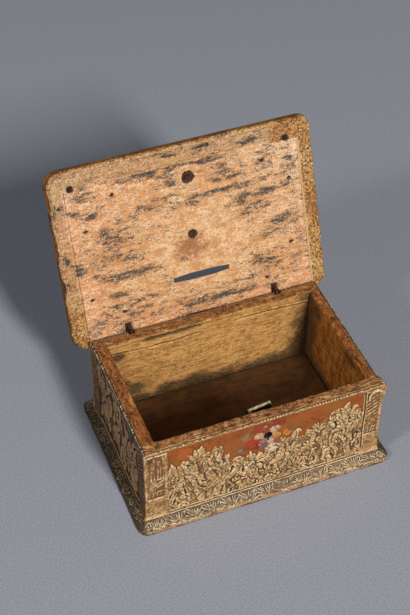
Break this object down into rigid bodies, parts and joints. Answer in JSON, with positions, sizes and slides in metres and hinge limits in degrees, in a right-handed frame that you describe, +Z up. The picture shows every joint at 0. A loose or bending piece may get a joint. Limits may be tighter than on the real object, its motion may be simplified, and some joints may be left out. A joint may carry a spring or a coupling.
{
  "type": "money box",
  "caption": "Small hinged wooden money box with a coin slot in its flat lid, a lock, wire hinges and moulded gilt reliefs on its faces and stepped plinth.",
  "frame": {"origin": "middle of the plinth's underside, on the surface that the box stands on", "axes": "+X along the front to the right, +Y to the back, +Z up; the lid stands open at rest"},
  "size_m": [0.1886, 0.1698, 0.1816],
  "materials": {
    "carcass_wood": "old bare wood, darkened",
    "lid_wood": "old bare wood, pale and sooty",
    "relief_paste": "worn gilt and painted paste",
    "bead_paste": "worn pale paste",
    "leaf_paste": "worn grey-brown paste",
    "lid_gilding": "granular worn gilding",
    "wrought_iron": "dark rusty iron",
    "lock_iron": "worn sheet iron"
  },
  "bodies": {
    "box": {"base_board": "carcass_wood", "front_wall": "carcass_wood", "back_wall": "carcass_wood", "left_wall": "carcass_wood", "right_wall": "carcass_wood", "front_relief": "relief_paste", "back_relief": "relief_paste", "left_relief": "relief_paste", "right_relief": "relief_paste", "front_pilasters": "relief_paste", "back_pilasters": "relief_paste", "left_pilasters": "relief_paste", "right_pilasters": "relief_paste", "front_beads": "bead_paste", "back_beads": "bead_paste", "left_beads": "bead_paste", "right_beads": "bead_paste", "front_leaves": "leaf_paste", "back_leaves": "leaf_paste", "left_leaves": "leaf_paste", "right_leaves": "leaf_paste", "left_hinge_box_eye": "wrought_iron", "right_hinge_box_eye": "wrought_iron", "lock_case": "lock_iron", "bolt_spring": "lock_iron", "key_pin": "lock_iron", "lock_nails": "wrought_iron", "corner_nails": "wrought_iron", "base_nails": "wrought_iron"},
    "lid": {"lid_board": "lid_wood", "lid_edging": "lid_gilding", "lid_border": "lid_gilding", "lid_relief": "lid_gilding", "left_hinge_lid_eye": "wrought_iron", "right_hinge_lid_eye": "wrought_iron", "lid_nails": "wrought_iron", "hasp_stub": "wrought_iron", "handle_stub": "wrought_iron"},
    "bolt": {"lock_bolt": "lock_iron"}
  },
  "joints": [
    {"name": "lid_hinge", "type": "hinge", "parent": "box", "child": "lid", "pos_m": [0, 0.0545, 0.068], "axis": [1, 0, 0], "range_deg": [0, 111]},
    {"name": "bolt_slide", "type": "slide", "parent": "box", "child": "bolt", "axis": [1, 0, 0], "range_m": [0, 0.006]}
  ]
}
